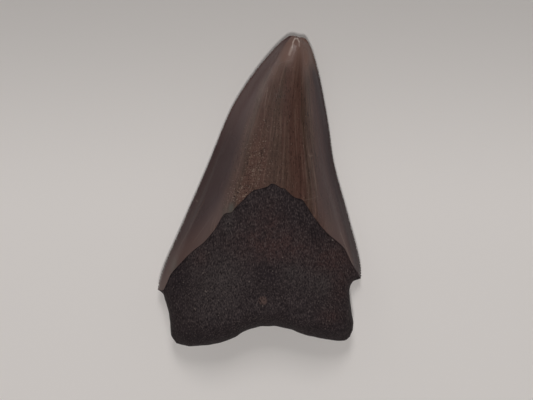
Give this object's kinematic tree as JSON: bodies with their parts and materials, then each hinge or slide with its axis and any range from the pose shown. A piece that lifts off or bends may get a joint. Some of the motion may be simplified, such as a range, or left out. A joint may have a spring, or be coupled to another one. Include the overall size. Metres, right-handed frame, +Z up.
{
  "type": "megalodon tooth",
  "caption": "Fossil shark tooth with a leaning, serrated blade of a crown on a thick lobed root, lying on its flat outer face.",
  "frame": {"origin": "middle of the tooth's box, at its bottom, on the surface that the tooth lies on", "axes": "+Y along the tooth from the root to the tip, +X to the right with the inner face seen from above, +Z up through the thickness"},
  "size_m": [0.048, 0.0726, 0.0151],
  "materials": {
    "fossil_tooth": "satin chocolate-brown enamel on the crown, matt near-black porous root"
  },
  "bodies": {
    "root": {"tooth": "fossil_tooth"}
  },
  "joints": []
}
